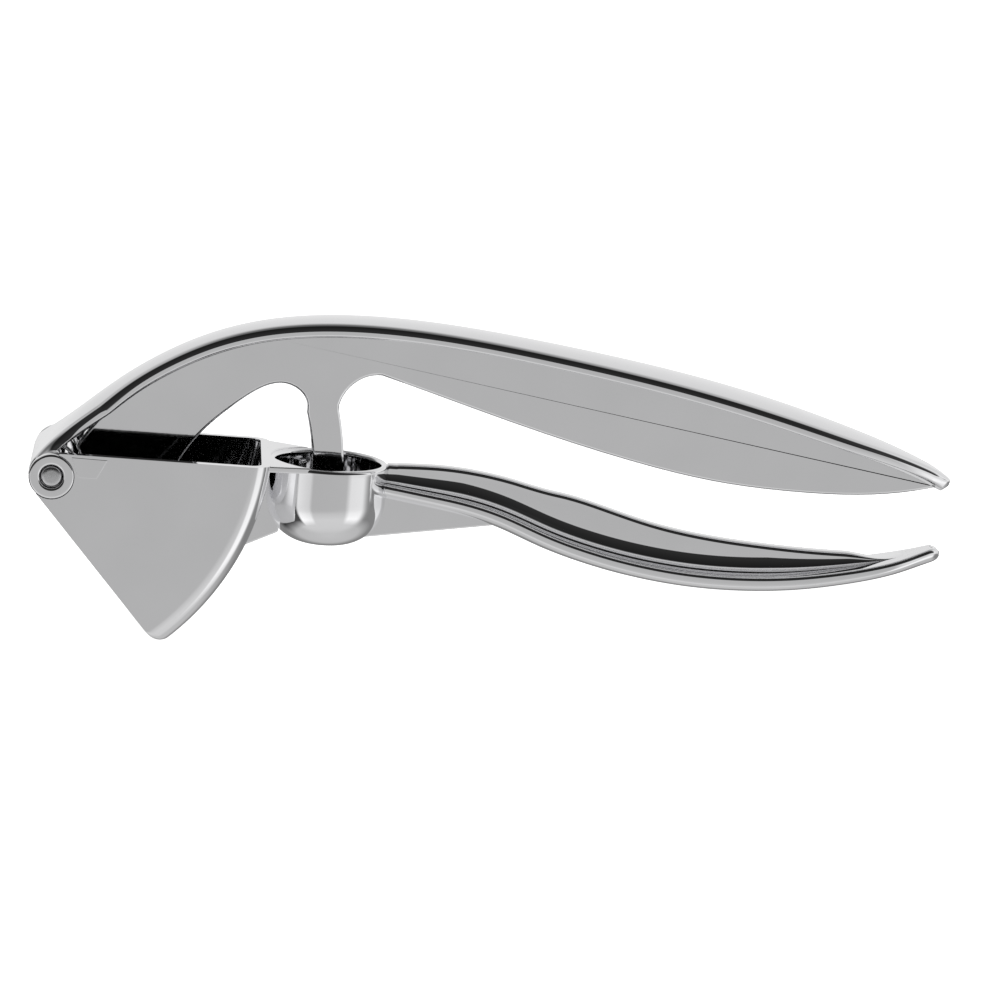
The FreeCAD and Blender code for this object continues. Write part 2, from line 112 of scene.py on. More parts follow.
# %% Finishes
def metal(name, tone, roughness, haze, wave_size, wave_height, fine_size, fine_height, squash=(1, 1, 1)):
    """A metal whose roughness and height are noise at two sizes in mm, stretched by squash."""
    mat = bpy.data.materials.new(name)
    mat.use_nodes = True
    nodes, links = mat.node_tree.nodes, mat.node_tree.links
    nodes.clear()
    out = nodes.new("ShaderNodeOutputMaterial")
    shader = nodes.new("ShaderNodeBsdfPrincipled")
    links.new(shader.outputs["BSDF"], out.inputs["Surface"])
    shader.inputs["Metallic"].default_value = 1.0
    place = nodes.new("ShaderNodeTexCoord")
    stretch = nodes.new("ShaderNodeMapping")
    stretch.inputs["Scale"].default_value = squash
    links.new(place.outputs["Object"], stretch.inputs["Vector"])

    def noise(size, detail):
        node = nodes.new("ShaderNodeTexNoise")
        node.inputs["Scale"].default_value = 1.0 / (size * MM)
        node.inputs["Detail"].default_value = detail
        links.new(stretch.outputs["Vector"], node.inputs["Vector"])
        return node.outputs["Fac"]

    def spread(source, low, high):
        node = nodes.new("ShaderNodeMapRange")
        node.inputs["From Min"].default_value = 0.3
        node.inputs["From Max"].default_value = 0.7
        node.inputs["To Min"].default_value = low
        node.inputs["To Max"].default_value = high
        links.new(source, node.inputs["Value"])
        return node.outputs["Result"]

    wide = noise(wave_size, 2.0)
    fine = noise(fine_size, 4.0)
    links.new(spread(fine, roughness, roughness + haze), shader.inputs["Roughness"])
    ramp = nodes.new("ShaderNodeValToRGB")
    ramp.color_ramp.elements[0].position = 0.3
    ramp.color_ramp.elements[1].position = 0.7
    ramp.color_ramp.elements[0].color = [c * 0.97 for c in tone] + [1]
    ramp.color_ramp.elements[1].color = list(tone) + [1]
    links.new(wide, ramp.inputs["Fac"])
    links.new(ramp.outputs["Color"], shader.inputs["Base Color"])
    previous = None
    for source, size, height in ((wide, wave_size, wave_height), (fine, fine_size, fine_height)):
        bump = nodes.new("ShaderNodeBump")
        bump.inputs["Distance"].default_value = height * MM
        bump.inputs["Strength"].default_value = 1.0
        links.new(source, bump.inputs["Height"])
        if previous is not None:
            links.new(previous, bump.inputs["Normal"])
        previous = bump.outputs["Normal"]
    links.new(previous, shader.inputs["Normal"])
    return mat


def turned_steel(name, tone):
    """Steel faced on a lathe: fine rings about the pin's axis, from a ring wave centred on the hinge."""
    mat = metal(name, tone, 0.24, 0.14, 1.2, 0.012, 0.25, 0.003)
    nodes, links = mat.node_tree.nodes, mat.node_tree.links
    shader = next(n for n in nodes if n.type == "BSDF_PRINCIPLED")
    place = next(n for n in nodes if n.type == "TEX_COORD")
    centre = nodes.new("ShaderNodeMapping")
    centre.inputs["Location"].default_value = (-hinge.x, 0, -hinge.z)
    rings = nodes.new("ShaderNodeTexWave")
    rings.wave_type = "RINGS"
    rings.rings_direction = "Y"
    rings.inputs["Scale"].default_value = 1200.0
    rings.inputs["Distortion"].default_value = 0.6
    links.new(place.outputs["Object"], centre.inputs["Vector"])
    links.new(centre.outputs["Vector"], rings.inputs["Vector"])
    bump = nodes.new("ShaderNodeBump")
    bump.inputs["Distance"].default_value = 0.003 * MM
    links.new(rings.outputs["Fac"], bump.inputs["Height"])
    links.new(shader.inputs["Normal"].links[0].from_socket, bump.inputs["Normal"])
    links.new(bump.outputs["Normal"], shader.inputs["Normal"])
    return mat


chrome = metal("polished chrome", (0.86, 0.86, 0.87), 0.035, 0.03, 14.0, 0.012, 0.5, 0.0006)
chrome_inside = metal("chrome as cast", (0.74, 0.74, 0.75), 0.12, 0.08, 5.0, 0.02, 0.4, 0.002)
sieve_steel = metal("brushed sieve steel", (0.6, 0.6, 0.6), 0.25, 0.15, 6.0, 0.01, 0.5, 0.006, (1, 0.06, 1))
pin_steel = turned_steel("turned pin steel", (0.66, 0.66, 0.67))
print("finishes:", [m.name for m in (chrome, chrome_inside, sieve_steel, pin_steel)])

# %% [markdown]
# Three ways to make a surface cover the whole press. A grid of points becomes a skin. A closed outline
# becomes a plate with soft edges. A half profile turned about an axis becomes a cup, ring, pin or
# barrel.

# %% Surface helpers
def mesh_piece(name, points, faces, body, finish, replaced=()):
    """Turns points in mm of the drawing frame, and their faces, into a smooth piece that rides on a body."""
    mesh = bpy.data.meshes.new(name)
    mesh.from_pydata(to_row(points).tolist(), [], faces)
    mesh.validate()
    mesh.polygons.foreach_set("use_smooth", [True] * len(mesh.polygons))
    mesh.materials.append(finish)
    piece = bpy.data.objects.new(name, mesh)
    bpy.context.scene.collection.objects.link(piece)
    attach(piece, body)
    if replaced:
        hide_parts(*replaced)
    print(name, len(points), "points", len(faces), "faces")
    return piece


def grid_faces(rows, columns, start=0, closed=False):
    """Quads of a grid of rows by columns, row by row; closed joins the last column to the first."""
    last = columns if closed else columns - 1
    i, j = np.meshgrid(np.arange(rows - 1), np.arange(last), indexing="ij")
    k = (j + 1) % columns
    here, above_here = i * columns, (i + 1) * columns
    quads = np.stack([here + j, here + k, above_here + k, above_here + j], -1)
    return (quads.reshape(-1, 4) + start).tolist()


def signed_area(outline):
    """Twice the area inside a closed outline; positive when it runs anticlockwise in x and z."""
    x, z = np.asarray(outline, float).T
    return float(np.sum(x * np.roll(z, -1) - np.roll(x, -1) * z))


def soften(piece, width, steps=4, angle=40, clamp=True):
    """Rounds a piece's sharp edges and keeps its flat faces flat."""
    bevel = piece.modifiers.new("soft edges", "BEVEL")
    bevel.width = width * MM
    bevel.segments = steps
    bevel.limit_method = "ANGLE"
    bevel.angle_limit = math.radians(angle)
    bevel.use_clamp_overlap = clamp
    bevel.miter_outer = "MITER_ARC"
    flat = piece.modifiers.new("flat faces stay flat", "WEIGHTED_NORMAL")
    flat.keep_sharp = True
    flat.weight = 80
    return piece


def plate(name, outline, low, high, width, body, finish, replaced=(), steps=4,
          clamp=True):
    """A flat plate: a closed outline in x and z, carried from y = low to y = high, with rounded edges."""
    outline = np.asarray(outline, float)
    if signed_area(outline) < 0:
        outline = outline[::-1]
    count = len(outline)
    points = np.empty((2, count, 3))
    points[:, :, 0] = outline[:, 0]
    points[:, :, 2] = outline[:, 1]
    points[0, :, 1] = low
    points[1, :, 1] = high
    faces = [list(range(count)), list(range(2 * count - 1, count - 1, -1))]
    i = np.arange(count)
    j = (i + 1) % count
    faces += np.stack([i, i + count, j + count, j], -1).tolist()
    piece = mesh_piece(name, points.reshape(-1, 3), faces, body, finish, replaced)
    return soften(piece, width, steps, clamp=clamp)


def lathe(name, profile, centre, axis, body, finish, replaced=(), steps=128):
    """A closed half profile of (radius, height) turned about an axis, "y" or "z", through a centre (x, z)."""
    profile = np.asarray(profile, float)
    turn = np.linspace(0, 2 * math.pi, steps, endpoint=False)[:, None]
    radius, height = profile[None, :, 0], profile[None, :, 1]
    points = np.empty((steps, len(profile), 3))
    if axis == "y":
        points[..., 0] = centre[0] + radius * np.cos(turn)
        points[..., 1] = height
        points[..., 2] = centre[1] + radius * np.sin(turn)
    else:
        points[..., 0] = centre[0] + radius * np.cos(turn)
        points[..., 1] = radius * np.sin(turn)
        points[..., 2] = centre[1] + height
    rows = np.concatenate([points, points[:1]])
    faces = np.asarray(grid_faces(steps + 1, len(profile), closed=True)) % (steps * len(profile))
    inside_out = signed_area(profile) < 0
    if (axis == "y") != inside_out:
        faces = faces[:, ::-1]
    return mesh_piece(name, points.reshape(-1, 3), faces.tolist(), body, finish, replaced)


def arc(centre, radius, start, end, steps=8):
    """Points of an arc, from one angle to another in degrees."""
    turn = np.radians(np.linspace(start, end, steps + 1))
    return np.stack([centre[0] + radius * np.cos(turn), centre[1] + radius * np.sin(turn)], 1)


def smooth_through(knots, values, at):
    """A natural cubic spline through the knots: its curvature solves one small linear system."""
    knots, values = np.asarray(knots, float), np.asarray(values, float)
    gap = np.diff(knots)
    size = len(knots)
    system = np.eye(size)
    right = np.zeros((size,) + values.shape[1:])
    slope = (np.diff(values, axis=0).T / gap).T
    inner = np.arange(1, size - 1)
    system[inner, inner - 1] = gap[:-1]
    system[inner, inner] = 2 * (gap[:-1] + gap[1:])
    system[inner, inner + 1] = gap[1:]
    right[1:-1] = 6 * np.diff(slope, axis=0)
    curl = np.linalg.solve(system, right)
    at = np.clip(at, knots[0], knots[-1])
    k = np.clip(np.searchsorted(knots, at) - 1, 0, size - 2)
    left, width = at - knots[k], gap[k]
    rest = width - left

    def wide(v):
        return v.reshape(v.shape + (1,) * (values.ndim - 1))

    left, rest, width = wide(left), wide(rest), wide(width)
    bend = (curl[k] * rest ** 3 + curl[k + 1] * left ** 3) / (6 * width)
    line_left = (values[k] / width - curl[k] * width / 6) * rest
    line_right = (values[k + 1] / width - curl[k + 1] * width / 6) * left
    return bend + line_left + line_right


# %% [markdown]
# The handles are measured from the CAD solids with rays: one straight down (or up) for the height of the
# crest or belly at the middle plane, and one from the side for the half-width. A few readings joined by
# a spline give a curve smooth enough to hold a clean reflection.

# %% Measuring the handles
def tree_of(name):
    """A ray-casting tree of a CAD node in the drawing frame."""
    mesh = frame["nodes"][name].data
    mesh.calc_loop_triangles()
    tris = np.empty(len(mesh.loop_triangles) * 3, np.int32)
    mesh.loop_triangles.foreach_get("vertices", tris)
    return BVHTree.FromPolygons(to_drawing(node_points(name)).tolist(), tris.reshape(-1, 3).tolist())


def strip_readings(name, xs, side, depth):
    """Crest (side 1) or belly (side -1) height and half-width of a flange at each x."""
    tree = tree_of(name)
    heights, halves = [], []
    for x in xs:
        hit = tree.ray_cast(Vector((x, 0.02, side * 90.0)), Vector((0, 0, -side)))[0]
        heights.append(hit.z)
    slope = np.gradient(np.array(heights), xs)
    for x, z, m in zip(xs, heights, slope):
        length = math.hypot(1, m)
        inside = (x + side * m / length * depth, z - side * depth / length)
        hit = tree.ray_cast(Vector((inside[0], -60.0, inside[1])), Vector((0, 1, 0)))[0]
        halves.append(abs(hit.y) if hit else halves[-1])
    return np.array(heights), np.array(halves)


def path_stations(places, count):
    """Evenly spaced points of a spline through (x, z) places, with unit normals on the upper side.

    The first spline runs by straight distance between places; its own length then spaces the stations.
    """
    places = np.asarray(places, float)
    run = np.concatenate([[0], np.cumsum(np.hypot(*np.diff(places, axis=0).T))])
    fine = smooth_through(run, places, np.linspace(0, run[-1], 2000))
    length = np.concatenate([[0], np.cumsum(np.hypot(*np.diff(fine, axis=0).T))])
    s = np.linspace(0, length[-1], count)
    centre = np.stack([np.interp(s, length, fine[:, 0]), np.interp(s, length, fine[:, 1])], 1)
    along = np.gradient(centre, axis=0)
    along /= np.linalg.norm(along, axis=1)[:, None]
    normal = np.stack([-along[:, 1], along[:, 0]], 1)
    return s, centre, normal


def end_shrink(s, run):
    """One along the strip, then falling like a quarter ellipse over the last run of it."""
    share = np.clip((s - (s[-1] - run)) / run, 0, 1)
    return np.sqrt(np.clip(1 - share ** 2, 0, 1))


def swept(name, centre, normal, sections, middle, shrink, body, finish, replaced):
    """Carries closed sections of (across, up) along a path; each shrinks about its own middle at the tip."""
    across = sections[..., 0] * shrink[:, None]
    up = (sections[..., 1] - middle[:, None]) * shrink[:, None] + middle[:, None]
    points = np.empty(sections.shape[:2] + (3,))
    points[..., 0] = centre[:, None, 0] + up * normal[:, None, 0]
    points[..., 1] = across
    points[..., 2] = centre[:, None, 1] + up * normal[:, None, 1]
    rows, columns = sections.shape[:2]
    faces = grid_faces(rows, columns, closed=True)
    faces.append(list(range(columns - 1, -1, -1)))
    faces.append([(rows - 1) * columns + j for j in range(columns)])
    return mesh_piece(name, points.reshape(-1, 3), faces, body, finish, replaced)


def both_sides(half):
    """A half section from the middle line round to the middle line again, mirrored to close it."""
    mirrored = half[:, ::-1].copy()
    mirrored[..., 0] *= -1
    return np.concatenate([half, mirrored[:, 1:-1]], 1)


# %% [markdown]
# The upper handle's flange is the widest mirror on the press. Its section is a shallow crown, a generous
# rounding over the edge, a tighter one below it, and a small fillet into the web. That edge is what
# draws the long dark line with a bright line under it. At the hinge it flares to the full width of the
# barrel.

# %% Upper flange
FLANGE = 2.5              # thickness
WEB_HALF = 1.7            # half the web's thickness
EDGE_ROUND = 1.75         # rounding over the edge
UNDER_ROUND = 0.5         # and below it
ROOT = 0.9                # fillet into the web
CROWN = 29.0              # radius of the top across the handle
CROWN_LIMIT = 9.5         # half-width past which the crown sinks no further
FLARE_RUN = 17.0          # length over which the flange widens to the barrel
SWELL_RUN = 18.0          # length over which its crown rises
WRAP_RADIUS = 4.9         # the flange's top rolls over the barrel at this radius
WRAP_START = 186.0        # degrees round the hinge where it leaves the barrel


def upper_section(half, sag):
    """Half sections for arrays of half-width and crown sag, as (stations, points, 2)."""
    rt = np.minimum(EDGE_ROUND, 0.6 * half)
    rb = np.minimum(UNDER_ROUND, 0.2 * half)
    web = np.minimum(WEB_HALF, 0.55 * half)
    rf = np.clip(half - rb - web, 0.02, ROOT)
    lean = 2 * sag / half
    shoulder = half - rt * (1 - np.sin(lean))
    top = -sag * (shoulder / half) ** 2
    middle = top - rt * np.cos(lean)
    bottom = -(sag + FLANGE)
    columns = []

    def add(y, v):
        columns.append(np.stack([y, v], -1))

    for share in np.linspace(0, 1, 15):
        add(shoulder * share, -sag * (shoulder * share / half) ** 2)
    for share in np.linspace(0, 1, 15)[1:]:
        angle = (math.pi / 2 - lean) * (1 - share)
        add(half - rt + rt * np.cos(angle), middle + rt * np.sin(angle))
    for share in np.linspace(0, 1, 6):
        angle = -share * math.pi / 2
        add(half - rb + rb * np.cos(angle), bottom + rb + rb * np.sin(angle))
    for share in np.linspace(0, 1, 7):
        angle = math.pi / 2 * (1 + share)
        add(web + rf + rf * np.cos(angle), bottom - rf + rf * np.sin(angle))
    add(0.7 * web, bottom - rf - 0.2)
    add(0 * web, bottom - rf - 0.2)
    return np.stack(columns, 1)


reading_x = np.array([8, 14, 22, 31, 41, 52, 63, 76, 90, 104, 118, 132, 146, 158, 168, 176, 182, 186.5])
crest, half_width = strip_readings("upper_handle_flange", reading_x, 1, 2.2)
far_end = to_drawing(node_points("upper_handle_flange"))
tip = far_end[far_end[:, 0].argmax()]
reach = math.hypot(reading_x[0], crest[0])
lean_angle = math.atan2(crest[0], reading_x[0]) - math.asin(WRAP_RADIUS / reach)
wrap = arc((0, 0), WRAP_RADIUS, WRAP_START, 90 + math.degrees(lean_angle), 5)
places = np.vstack([wrap, np.stack([reading_x, crest], 1), [[tip[0] + 0.1, tip[2] - 0.25]]])
s, centre, normal = path_stations(places, 300)
half = smooth_through(reading_x, half_width, centre[:, 0])
barrel_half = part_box("hinge_barrel")[1].y / MM
wrap_run = math.radians(WRAP_START - 90 - math.degrees(lean_angle)) * WRAP_RADIUS
flare = np.clip(1 - (s - wrap_run) / FLARE_RUN, 0, 1)
half = half + (barrel_half - 0.1 - half) * flare ** 4
toward_tip = np.interp(centre[:, 0], [reading_x[-1], tip[0]], [half_width[-1], 1.5])
half = np.where(centre[:, 0] > reading_x[-1], toward_tip, half)
swell = np.clip((s - wrap_run) / SWELL_RUN, 0.03, 1)
sag = np.minimum(half, CROWN_LIMIT) ** 2 / (2 * CROWN) * swell * swell * (3 - 2 * swell)
sections = both_sides(upper_section(half, sag))
swept("upper_handle_top", centre, normal, sections, -(sag + FLANGE) / 2, end_shrink(s, 1.0),
      "upper_handle", chrome, ("upper_handle_flange",))

# %% [markdown]
# The web is one flat sheet of metal below that flange, with an arch cut out of it and the pitter's stem
# left standing. CAD holds it as three solids. Their near faces are laid together here, the seams cancel,
# and what is left is one outline to give thickness and soft edges.

# %% Outlines from the CAD plates
def flat_outline(names, y):
    """The longest boundary loop of the nodes' faces that lie flat at one y, in the drawing frame."""
    edges = {}
    where = {}
    for name in names:
        mesh = frame["nodes"][name].data
        mesh.calc_loop_triangles()
        points = to_drawing(node_points(name))
        for tri in mesh.loop_triangles:
            corners = points[list(tri.vertices)]
            if np.abs(corners[:, 1] - y).max() > 0.02:
                continue
            keys = [(round(c[0] * 50), round(c[2] * 50)) for c in corners]
            for key, corner in zip(keys, corners):
                where.setdefault(key, (corner[0], corner[2]))
            for a, b in zip(keys, keys[1:] + keys[:1]):
                if a == b:
                    continue
                if (b, a) in edges:
                    del edges[(b, a)]
                else:
                    edges[(a, b)] = True
    follow = {}
    for a, b in edges:
        follow.setdefault(a, []).append(b)
    loops = []
    while follow:
        start = next(iter(follow))
        loop, here = [], start
        while here in follow:
            loop.append(here)
            ahead = follow[here].pop()
            if not follow[here]:
                del follow[here]
            here = ahead
            if here == start:
                break
        loops.append(loop)
    longest = max(loops, key=len)
    return np.array([where[k] for k in longest])


def thin_out(outline, shortest=0.25):
    """Drops points that crowd closer than the shortest step."""
    kept = [outline[0]]
    for point in outline[1:]:
        if np.hypot(*(point - kept[-1])) >= shortest:
            kept.append(point)
    if np.hypot(*(kept[0] - kept[-1])) < shortest:
        kept.pop()
    return np.array(kept)


WEB_EDGE = 0.62
web_outline = thin_out(flat_outline(["upper_web_hinge", "pitter_stem", "upper_web_handle"], -WEB_HALF), 0.7)
print("web outline points:", len(web_outline))
plate("upper_handle_web", web_outline, -WEB_HALF, WEB_HALF, WEB_EDGE, "upper_handle",
      chrome, ("upper_web_hinge", "pitter_stem", "upper_web_handle"), 6, clamp=False)

# %% [markdown]
# The barrel joins both sides of the upper casting round the pin, with a thicker hub under the web. It is
# a lathe shape: a profile of radius against place along the pin, with its corners rounded.

# %% Barrel, lugs and pin
BARREL = 4.4
HUB = 4.9
HUB_HALF = 4.5
PIN_BORE = 2.25
PIN = 2.2
LUG = 4.7
SIDE = 17.0
INSIDE = 15.0


def rounded_profile(corners, radius, steps=5):
    """A closed profile with every corner cut by a short arc of about the given radius."""
    corners = np.asarray(corners, float)
    before, after = np.roll(corners, 1, 0), np.roll(corners, -1, 0)
    out = []
    for p, c, n in zip(before, corners, after):
        a, b = p - c, n - c
        reach = min(radius, 0.45 * np.hypot(*a), 0.45 * np.hypot(*b))
        a, b = c + a / np.hypot(*a) * reach, c + b / np.hypot(*b) * reach
        t = np.linspace(0, 1, steps + 1)[:, None]
        out.append((1 - t) ** 2 * a + 2 * t * (1 - t) * c + t ** 2 * b)
    return np.concatenate(out)


end = barrel_half
barrel_profile = rounded_profile([(PIN_BORE, -end), (BARREL, -end), (BARREL, -HUB_HALF), (HUB, -HUB_HALF),
                                  (HUB, HUB_HALF), (BARREL, HUB_HALF), (BARREL, end), (PIN_BORE, end)], 0.5)
lathe("barrel", barrel_profile, (0, 0), "y", "upper_handle", chrome, ("hinge_barrel",))
for side, name in ((-1, "near_lug"), (1, "far_lug")):
    low, high = sorted((side * INSIDE, side * SIDE))
    ring = rounded_profile([(PIN + 0.25, low), (LUG, low), (LUG, high), (PIN + 0.25, high)], 0.55)
    lathe(name + "_ring", ring, (0, 0), "y", "lower_casting", chrome, (name,))
PIN_END = SIDE - 0.15
dome = [(0.01, -PIN_END), (0.1, -PIN_END), (1.2, -PIN_END + 0.02), (1.8, -PIN_END + 0.07),
        (2.07, -PIN_END + 0.24), (PIN - 0.02, -PIN_END + 0.6)]
pin_profile = np.array(dome + [(r, -y) for r, y in reversed(dome)])
lathe("pin", pin_profile, (0, 0), "y", "lower_casting", pin_steel, ("hinge_pin",), 64)

# %% [markdown]
# The hopper is a wedge: two flat walls, a curved front and an open side for the sieve. Every layer of it
# is the same outline drawn a little further in, so the rounded corners between the walls and the front
# come from one family of outlines, and the flat walls close it.

# %% Hopper
FRONT_CENTRE = np.array([-12.6, 9.7])
FRONT_RADIUS = 57.8
RIM = float(to_drawing(rim_start)[2])
RIM_X = float(to_drawing(rim_start)[0])
SLOPE = math.radians(48.5)
DOWN = np.array([math.cos(SLOPE), -math.sin(SLOPE)])
OUTWARD = np.array([-math.sin(SLOPE), -math.cos(SLOPE)])
WALL = 2.0
FACE_INSET = 0.12
CORNER = 4.2


def wedge_edge(radius, tip_round, count=72, tip_count=12):
    """The curved front from the rim down to the sieve side, at one radius, with its tip rounded."""
    radius_in = radius - tip_round
    q = OUTWARD * (LUG - tip_round) - FRONT_CENTRE
    along = -q @ DOWN + math.sqrt((q @ DOWN) ** 2 - q @ q + radius_in ** 2)
    tip_centre = OUTWARD * (LUG - tip_round) + DOWN * along
    out = tip_centre - FRONT_CENTRE
    low = math.atan2(out[1], out[0])
    high = math.asin((RIM - FRONT_CENTRE[1]) / radius)
    turn = np.linspace(high, low, count)
    front = FRONT_CENTRE + radius * np.stack([np.cos(turn), np.sin(turn)], 1)
    turn = np.linspace(low, math.atan2(OUTWARD[1], OUTWARD[0]), tip_count + 1)[1:]
    tip_arc = tip_centre + tip_round * np.stack([np.cos(turn), np.sin(turn)], 1)
    return np.concatenate([front, tip_arc])


def wedge_layers(radius, corner, half, tip_round):
    """Rows of outline from the near wall, round one corner, across the front and round the other."""
    rows = []
    turns = np.linspace(0, math.pi / 2, 13)
    for turn in turns:
        inset = corner * (1 - math.sin(turn))
        rows.append((inset, -(half - corner) - corner * math.cos(turn)))
    rows += [(inset, -y) for inset, y in reversed(rows)]
    layers = []
    for inset, y in rows:
        edge = wedge_edge(radius - inset, max(tip_round - 0.45 * inset, 0.4))
        layers.append(np.stack([edge[:, 0], np.full(len(edge), y), edge[:, 1]], 1))
    return np.array(layers)


def wall_inner_end(radius):
    """The end of a side wall at the hinge: an arc just outside the lug, from the sieve side to the rim."""
    start = math.atan2(OUTWARD[1], OUTWARD[0]) + math.acos(LUG / radius) + 0.02
    turn = np.linspace(start, 0.42 * math.pi, 20)
    return radius * np.stack([np.cos(turn), np.sin(turn)], 1)


half_out = SIDE - FACE_INSET
outer = wedge_layers(FRONT_RADIUS, CORNER, half_out, 2.6)
inner = wedge_layers(FRONT_RADIUS - WALL, CORNER - WALL, INSIDE, 0.8)
rows, columns = outer.shape[:2]
hinge_end = wall_inner_end(LUG + 0.06)
hinge_end = np.vstack([hinge_end, [[RIM_X + 0.3, RIM]]])
points = [outer.reshape(-1, 3), inner.reshape(-1, 3)]
start_inner = rows * columns
faces = [f[::-1] for f in grid_faces(rows, columns)]
faces += grid_faces(rows, columns, start_inner)
offset = 2 * rows * columns
ends = []
for y in (-half_out, -INSIDE, INSIDE, half_out):
    ends.append(list(range(offset, offset + len(hinge_end))))
    points.append(np.stack([hinge_end[:, 0], np.full(len(hinge_end), y), hinge_end[:, 1]], 1))
    offset += len(hinge_end)
near_out = list(range(columns))
far_out = list(range((rows - 1) * columns, rows * columns))
near_in = [start_inner + k for k in near_out]
far_in = [start_inner + k for k in far_out]
faces.append(near_out + ends[0])
faces.append((far_out + ends[3])[::-1])
faces.append((near_in + ends[1])[::-1])
faces.append(far_in + ends[2])
for outside, inside, flip in ((ends[0], ends[1], False), (ends[3], ends[2], True)):
    for k in range(len(outside) - 1):
        quad = [outside[k], outside[k + 1], inside[k + 1], inside[k]]
        faces.append(quad[::-1] if flip else quad)
rim_out = [i * columns for i in range(rows)]
sieve_out = [i * columns + columns - 1 for i in range(rows)]
rim_loop = [ends[0][-1]] + rim_out + [ends[3][-1]]
rim_inside = [ends[1][-1]] + [start_inner + k for k in rim_out] + [ends[2][-1]]
sieve_loop = [ends[0][0]] + sieve_out + [ends[3][0]]
sieve_inside = [ends[1][0]] + [start_inner + k for k in sieve_out] + [ends[2][0]]
for k in range(len(rim_loop) - 1):
    faces.append([rim_loop[k], rim_loop[k + 1], rim_inside[k + 1], rim_inside[k]])
    faces.append([sieve_loop[k + 1], sieve_loop[k], sieve_inside[k], sieve_inside[k + 1]])
hopper = mesh_piece("hopper", np.concatenate(points), faces, "lower_casting", chrome,
                    ("near_side_wall", "far_side_wall", "front_wall"))
soften(hopper, 0.42, 4, 50)

# %% [markdown]
# Beside each lug a small pad stands a hair proud of the wall, probably left from trimming the casting.
# Its outline shows as a fine line on the mirror.

# %% Pads beside the lugs
PAD = [(3.9, 4.35), (11.3, 4.25), (9.3, 0.2), (5.5, 0.2)]
for side, name in ((-1, "near_pad"), (1, "far_pad")):
    low, high = sorted((side * (SIDE - 0.5), side * (SIDE - 0.02)))
    plate(name, PAD, low, high, 0.1, "lower_casting", chrome, (), 3)

# %% [markdown]
# The pitter's cup is round, so one turned profile makes it: a straight side, a round bottom with a hole
# for the stone, and a soft rim. The profile runs up the outside, over the rim, down the inside and back
# out through the hole.

# %% Cup
cup_points = to_drawing(node_points("pitter_cup"))
CUP_OUT = 12.6
CUP_WALL = 1.5
CUP_ROUND = 9.5           # outer radius of the round bottom
CUP_X = cup_points[:, 0].max() - CUP_OUT
CUP_TOP = float(cup_points[:, 2].max())
CUP_BOTTOM = float(cup_points[:, 2].min()) + 0.4
HOLE = 4.2
turn_in = CUP_ROUND - CUP_WALL
flat = CUP_OUT - CUP_ROUND
bend_z = CUP_BOTTOM + CUP_ROUND
hole_out = -math.degrees(math.acos((HOLE + 0.3 - flat) / CUP_ROUND))
hole_in = -math.degrees(math.acos((HOLE + 0.3 - flat) / turn_in))
straight = np.linspace(bend_z, CUP_TOP - 0.8, 12)[1:-1]
cup_profile = np.concatenate([
    arc((flat, bend_z), CUP_ROUND, hole_out, 0, 28),
    np.stack([np.full(10, CUP_OUT), straight], 1),
    arc((CUP_OUT - 0.75, CUP_TOP - 0.75), 0.75, 0, 180, 12),
    np.stack([np.full(10, CUP_OUT - CUP_WALL), straight[::-1]], 1),
    arc((flat, bend_z), turn_in, 0, hole_in, 24),
    [(HOLE, CUP_BOTTOM + CUP_WALL + 0.05), (HOLE, CUP_BOTTOM + 0.45)],
])
lathe("cup", cup_profile, (CUP_X, 0), "z", "lower_casting", chrome, ("pitter_cup",), 160)

# %% [markdown]
# A short level plate fills the corners between the hopper and the cup, with its sides running into the
# cup's circle. Two thin ribs stand on the middle plane under it. All three are outlines with a
# thickness, like the web, and their far edges are buried in what they hold.

# %% Bridge plate and ribs
BRIDGE = 1.25             # thickness


def bridge():
    """The level plate from the hopper's front to the cup: straight sides that meet the cup's circle."""
    lean = np.radians(np.linspace(108, 252, 40))
    around = np.stack([CUP_X + 12.1 * np.cos(lean), 12.1 * np.sin(lean)], 1)
    wide = SIDE - 2.4
    back = FRONT_CENTRE[0] + math.sqrt((FRONT_RADIUS - 0.9) ** 2 - (CUP_TOP - FRONT_CENTRE[1]) ** 2)
    outline = np.vstack([around, [[back, -wide], [back, wide]]])
    count = len(outline)
    high = np.interp(outline[:, 0], [back, CUP_X], [RIM - 0.04, CUP_TOP - 0.03])
    pts = np.empty((2, count, 3))
    pts[:, :, 0], pts[:, :, 1] = outline[:, 0], outline[:, 1]
    pts[0, :, 2], pts[1, :, 2] = high, high - BRIDGE
    f = [list(range(count)), list(range(2 * count - 1, count - 1, -1))]
    i = np.arange(count)
    j = (i + 1) % count
    f += np.stack([i, i + count, j + count, j], -1).tolist()
    piece = mesh_piece("bridge_plate", pts.reshape(-1, 3), f, "lower_casting", chrome,
                       ("near_gusset", "far_gusset"))
    return soften(piece, 0.4)


bridge()


cup_rib_points = to_drawing(node_points("cup_rib"))
lowest = cup_rib_points[cup_rib_points[:, 2].argmin()]
foremost = cup_rib_points[cup_rib_points[:, 0].argmax()]
hopper_rib_points = to_drawing(node_points("hopper_rib"))
deepest = hopper_rib_points[hopper_rib_points[:, 2].argmin()]
BURIED_TOP = -1.5         # the cup's rib ends up here, inside the handle
BESIDE_CUP = CUP_X - 9.4  # the hopper's rib ends here, inside the cup's wall
cup_rib = [(lowest[0] - 1.5, lowest[2] - 0.2), (foremost[0], foremost[2]),
           (foremost[0] - 4, foremost[2] + 2.6), (lowest[0] + 2, BURIED_TOP), (lowest[0] - 1.5, BURIED_TOP)]
hopper_rib = [(deepest[0] - 1.2, deepest[2] + 0.1), (BESIDE_CUP, -11.6), (BESIDE_CUP, 3.0),
              (deepest[0] + 2.5, 3.0)]
RIB_HALF = 1.5
